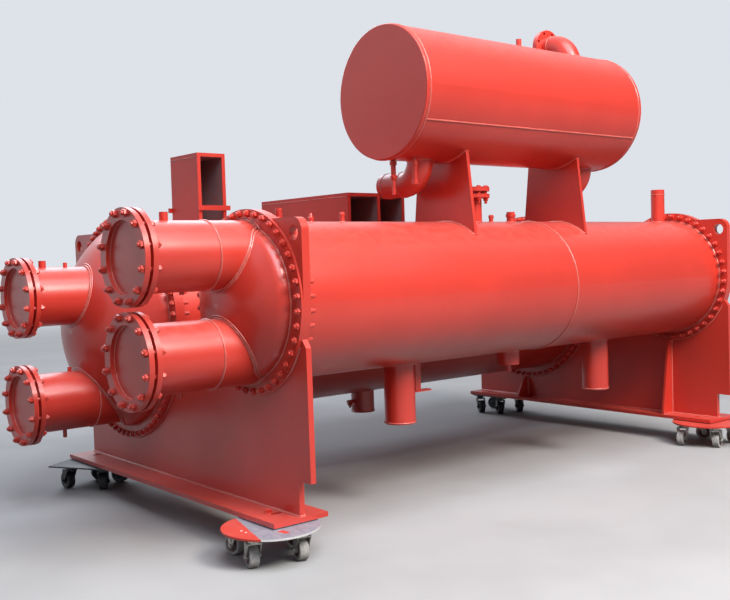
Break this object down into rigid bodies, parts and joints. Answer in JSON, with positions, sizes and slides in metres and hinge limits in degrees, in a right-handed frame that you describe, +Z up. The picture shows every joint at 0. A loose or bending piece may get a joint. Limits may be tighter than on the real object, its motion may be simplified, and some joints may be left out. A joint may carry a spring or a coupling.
{
  "type": "shell and tube heat exchanger",
  "caption": "Two horizontal shell and tube vessels joined by leg plates, with blanked water nozzles, a drum on saddles above one, and wheeled dollies under the feet.",
  "frame": {"origin": "on the floor under the middle of the whole set's box", "axes": "+Z up, +Y along the vessels from the nozzle end to the return end, +X towards the smaller, higher vessel"},
  "size_m": [2.4724, 4.438, 2.716],
  "materials": {
    "red_oxide_paint": "semi-gloss red oxide primer",
    "deck_plate": "worn, part painted red",
    "dark_deck": "dark, worn",
    "zinc_plate": "zinc plated, dull",
    "caster_tread": "grey tread on a dark red core"
  },
  "bodies": {
    "root": {"near_shell": "red_oxide_paint", "far_shell": "red_oxide_paint", "near_front_tubesheet": "red_oxide_paint", "far_front_tubesheet": "red_oxide_paint", "near_rear_tubesheet": "red_oxide_paint", "far_rear_tubesheet": "red_oxide_paint", "near_waterbox": "red_oxide_paint", "far_waterbox": "red_oxide_paint", "near_return_cover": "red_oxide_paint", "far_return_cover": "red_oxide_paint", "near_water_nozzles": "red_oxide_paint", "far_water_nozzles": "red_oxide_paint", "nozzle_rings": "red_oxide_paint", "blanking_discs": "red_oxide_paint", "front_leg_plate": "red_oxide_paint", "rear_leg_plate": "red_oxide_paint", "front_foot_plate": "red_oxide_paint", "rear_foot_plate": "red_oxide_paint", "leg_gussets": "red_oxide_paint", "drum_shell": "red_oxide_paint", "drum_front_head": "red_oxide_paint", "drum_rear_head": "red_oxide_paint", "front_saddle": "red_oxide_paint", "rear_saddle": "red_oxide_paint", "front_drum_elbow": "red_oxide_paint", "rear_drum_elbow": "red_oxide_paint", "drum_top_elbow": "red_oxide_paint", "drum_level_pipes": "red_oxide_paint", "tall_duct_box": "red_oxide_paint", "wide_duct_box": "red_oxide_paint", "duct_clamp_bars": "red_oxide_paint", "near_bottom_nozzles": "red_oxide_paint", "far_bottom_outlet": "red_oxide_paint", "shell_hanger": "red_oxide_paint", "shell_riser": "red_oxide_paint", "shell_fittings": "red_oxide_paint", "nozzle_fittings": "red_oxide_paint", "round_decks": "deck_plate", "square_decks": "dark_deck", "deck_pads": "dark_deck", "caster_forks": "zinc_plate"},
    "front_right_wheel_1": {"front_right_wheel_1": "caster_tread"},
    "front_right_wheel_2": {"front_right_wheel_2": "caster_tread"},
    "front_right_wheel_3": {"front_right_wheel_3": "caster_tread"},
    "front_right_wheel_4": {"front_right_wheel_4": "caster_tread"},
    "front_left_wheel_1": {"front_left_wheel_1": "caster_tread"},
    "front_left_wheel_2": {"front_left_wheel_2": "caster_tread"},
    "front_left_wheel_3": {"front_left_wheel_3": "caster_tread"},
    "front_left_wheel_4": {"front_left_wheel_4": "caster_tread"},
    "rear_right_wheel_1": {"rear_right_wheel_1": "caster_tread"},
    "rear_right_wheel_2": {"rear_right_wheel_2": "caster_tread"},
    "rear_right_wheel_3": {"rear_right_wheel_3": "caster_tread"},
    "rear_right_wheel_4": {"rear_right_wheel_4": "caster_tread"},
    "rear_left_wheel_1": {"rear_left_wheel_1": "caster_tread"},
    "rear_left_wheel_2": {"rear_left_wheel_2": "caster_tread"},
    "rear_left_wheel_3": {"rear_left_wheel_3": "caster_tread"},
    "rear_left_wheel_4": {"rear_left_wheel_4": "caster_tread"}
  },
  "joints": [
    {"name": "front_right_spin_1", "type": "hinge", "parent": "root", "child": "front_right_wheel_1", "pos_m": [1.05327, -1.82734, 0.05], "axis": [-0.309, -0.9511, 0], "continuous": true},
    {"name": "front_right_spin_2", "type": "hinge", "parent": "root", "child": "front_right_wheel_2", "pos_m": [0.83782, -1.77768, 0.05], "axis": [0.1564, -0.9877, 0], "continuous": true},
    {"name": "front_right_spin_3", "type": "hinge", "parent": "root", "child": "front_right_wheel_3", "pos_m": [0.95389, -1.5287, 0.05], "axis": [-0.866, 0.5, 0], "continuous": true},
    {"name": "front_right_spin_4", "type": "hinge", "parent": "root", "child": "front_right_wheel_4", "pos_m": [1.11842, -1.61427, 0.05], "axis": [-0.2756, -0.9613, 0], "continuous": true},
    {"name": "front_left_spin_1", "type": "hinge", "parent": "root", "child": "front_left_wheel_1", "pos_m": [-0.8002, -1.665, 0.05], "axis": [-0.5, -0.866, 0], "continuous": true},
    {"name": "front_left_spin_2", "type": "hinge", "parent": "root", "child": "front_left_wheel_2", "pos_m": [-0.99862, -1.79696, 0.05], "axis": [0.0872, -0.9962, 0], "continuous": true},
    {"name": "front_left_spin_3", "type": "hinge", "parent": "root", "child": "front_left_wheel_3", "pos_m": [-1.06794, -1.56716, 0.05], "axis": [-0.9659, 0.2588, 0], "continuous": true},
    {"name": "front_left_spin_4", "type": "hinge", "parent": "root", "child": "front_left_wheel_4", "pos_m": [-0.9122, -1.505, 0.05], "axis": [0.5, -0.866, 0], "continuous": true},
    {"name": "rear_right_spin_1", "type": "hinge", "parent": "root", "child": "rear_right_wheel_1", "pos_m": [1.12954, 1.76316, 0.05], "axis": [-0.9659, -0.2588, 0], "continuous": true},
    {"name": "rear_right_spin_2", "type": "hinge", "parent": "root", "child": "rear_right_wheel_2", "pos_m": [0.92437, 1.67406, 0.05], "axis": [0.9659, 0.2588, 0], "continuous": true},
    {"name": "rear_right_spin_3", "type": "hinge", "parent": "root", "child": "rear_right_wheel_3", "pos_m": [0.9182, 1.95153, 0.05], "axis": [-0.6428, 0.766, 0], "continuous": true},
    {"name": "rear_right_spin_4", "type": "hinge", "parent": "root", "child": "rear_right_wheel_4", "pos_m": [1.14841, 1.94719, 0.05], "axis": [0.1736, 0.9848, 0], "continuous": true},
    {"name": "rear_left_spin_1", "type": "hinge", "parent": "root", "child": "rear_left_wheel_1", "pos_m": [-0.86742, 1.8375, 0.05], "axis": [-0.5446, -0.8387, 0], "continuous": true},
    {"name": "rear_left_spin_2", "type": "hinge", "parent": "root", "child": "rear_left_wheel_2", "pos_m": [-1.03394, 1.79314, 0.05], "axis": [0.5299, 0.848, 0], "continuous": true},
    {"name": "rear_left_spin_3", "type": "hinge", "parent": "root", "child": "rear_left_wheel_3", "pos_m": [-1.10254, 2.02339, 0.05], "axis": [0.342, -0.9397, 0], "continuous": true},
    {"name": "rear_left_spin_4", "type": "hinge", "parent": "root", "child": "rear_left_wheel_4", "pos_m": [-0.81888, 2.02334, 0.05], "axis": [0.5736, 0.8192, 0], "continuous": true}
  ]
}
